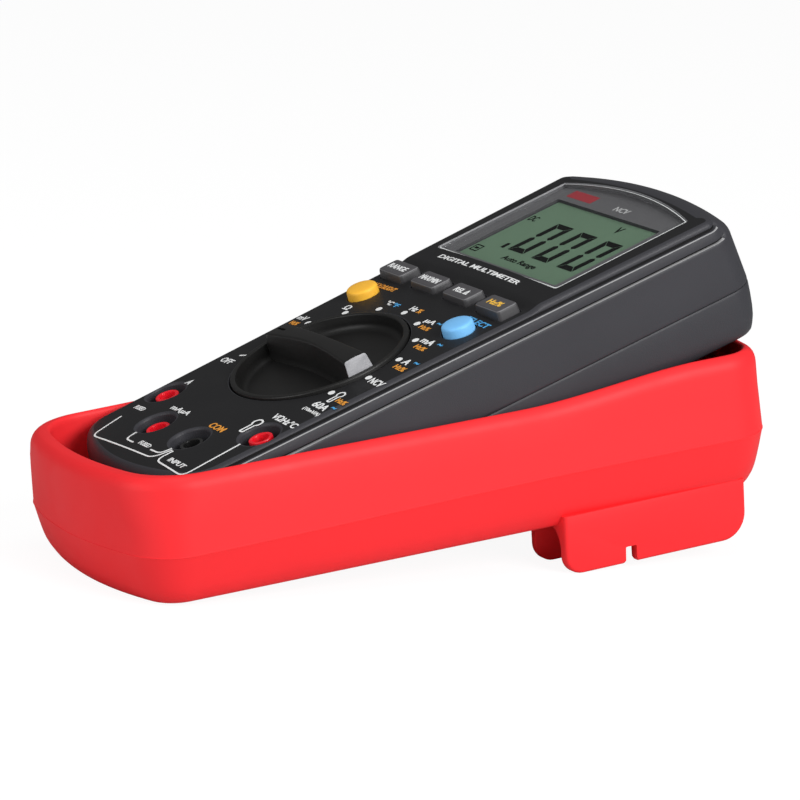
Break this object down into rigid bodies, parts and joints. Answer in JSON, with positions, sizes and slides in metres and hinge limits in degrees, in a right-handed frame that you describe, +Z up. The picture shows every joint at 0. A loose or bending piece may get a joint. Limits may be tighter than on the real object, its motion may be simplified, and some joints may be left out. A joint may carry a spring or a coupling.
{
  "type": "digital multimeter",
  "caption": "Handheld digital multimeter leaning in its rubber holster, with rotary selector, push keys, display window and 4 mm test sockets",
  "frame": {"origin": "centre of the bounding box in plan, on the table the holster stands on", "axes": "+X to the right of the meter's face, +Y from the sockets towards the display, +Z up"},
  "size_m": [0.0878, 0.1894, 0.0931],
  "materials": {
    "holster_rubber": "satin moulded elastomer",
    "case_plastic": "fine spark texture",
    "window_clear": "clear polished acrylic",
    "lcd_film": "polarised glass sandwich, grey-green",
    "backlight_acrylic": "frosted acrylic",
    "white_nylon": "as moulded",
    "zebra_rubber": "layered conductive strip",
    "board_laminate": "solder-masked glass-fibre board",
    "black_plastic": "as moulded",
    "blue_epoxy": "dipped epoxy",
    "shunt_alloy": "plain copper-nickel strip",
    "spring_brass": "nickel-plated or plain turned brass",
    "mat_silicone": "silicone rubber",
    "collar_red_plastic": "as moulded",
    "fuse_ceramic": "ceramic tube with metal caps",
    "bright_steel": "zinc or nickel plated",
    "cell_jacket": "printed sleeve, no lettering",
    "key_rubber": "satin silicone",
    "yellow_rubber": "satin silicone",
    "blue_rubber": "satin silicone"
  },
  "bodies": {
    "holster": {"holster": "holster_rubber", "holster_foot_left": "holster_rubber", "holster_foot_right": "holster_rubber"},
    "meter": {"front_case": "case_plastic", "rear_case": "case_plastic", "display_lens": "window_clear", "lcd_glass": "lcd_film", "lcd_backlight": "backlight_acrylic", "lcd_frame": "white_nylon", "contact_strip": "zebra_rubber", "main_board": "board_laminate", "measuring_chip": "black_plastic", "buzzer": "black_plastic", "ptc_thermistor": "blue_epoxy", "current_shunt": "shunt_alloy", "voltage_sensor": "spring_brass", "keypad_mat": "mat_silicone", "jack_base": "black_plastic", "collar_amp": "collar_red_plastic", "collar_milliamp": "collar_red_plastic", "collar_com": "black_plastic", "collar_volt": "collar_red_plastic", "socket_amp": "spring_brass", "socket_milliamp": "spring_brass", "socket_com": "spring_brass", "socket_volt": "spring_brass", "detent_ring": "black_plastic", "fuse_large": "fuse_ceramic", "fuse_small_tube": "fuse_ceramic", "fuse_clips": "bright_steel", "rear_shield": "bright_steel", "battery_left": "cell_jacket", "battery_right": "cell_jacket", "battery_contacts": "bright_steel", "battery_door": "case_plastic", "door_screw": "bright_steel", "case_screws": "bright_steel", "board_screws": "bright_steel"},
    "dial": {"rotary_dial": "case_plastic", "dial_rotor": "white_nylon", "wiper_contacts": "spring_brass", "detent_balls": "bright_steel", "detent_springs": "bright_steel"},
    "range_key_body": {"range_key": "key_rubber"},
    "maxmin_key_body": {"maxmin_key": "key_rubber"},
    "relative_key_body": {"relative_key": "key_rubber"},
    "hertz_key_body": {"hertz_key": "key_rubber"},
    "hold_button_body": {"hold_button": "yellow_rubber"},
    "select_button_body": {"select_button": "blue_rubber"}
  },
  "joints": [
    {"name": "meter_tilt", "type": "hinge", "parent": "holster", "child": "meter", "pos_m": [0, -0.06848, 0.00642], "axis": [1, 0, 0], "range_deg": [0, 18]},
    {"name": "dial_turn", "type": "hinge", "parent": "meter", "child": "dial", "pos_m": [0, -0.0223, 0.0529], "axis": [0, -0.3665, 0.9304], "range_deg": [-202.5, 22.5]},
    {"name": "range_key_press", "type": "slide", "parent": "meter", "child": "range_key_body", "axis": [0, -0.3665, 0.9304], "range_m": [-0.001, 0], "stiffness_N_per_m": 900, "springref_m": 0.0002},
    {"name": "maxmin_key_press", "type": "slide", "parent": "meter", "child": "maxmin_key_body", "axis": [0, -0.3665, 0.9304], "range_m": [-0.001, 0], "stiffness_N_per_m": 900, "springref_m": 0.0002},
    {"name": "relative_key_press", "type": "slide", "parent": "meter", "child": "relative_key_body", "axis": [0, -0.3665, 0.9304], "range_m": [-0.001, 0], "stiffness_N_per_m": 900, "springref_m": 0.0002},
    {"name": "hertz_key_press", "type": "slide", "parent": "meter", "child": "hertz_key_body", "axis": [0, -0.3665, 0.9304], "range_m": [-0.001, 0], "stiffness_N_per_m": 900, "springref_m": 0.0002},
    {"name": "hold_button_press", "type": "slide", "parent": "meter", "child": "hold_button_body", "axis": [0, -0.3665, 0.9304], "range_m": [-0.001, 0], "stiffness_N_per_m": 900, "springref_m": 0.0002},
    {"name": "select_button_press", "type": "slide", "parent": "meter", "child": "select_button_body", "axis": [0, -0.3665, 0.9304], "range_m": [-0.001, 0], "stiffness_N_per_m": 900, "springref_m": 0.0002}
  ]
}
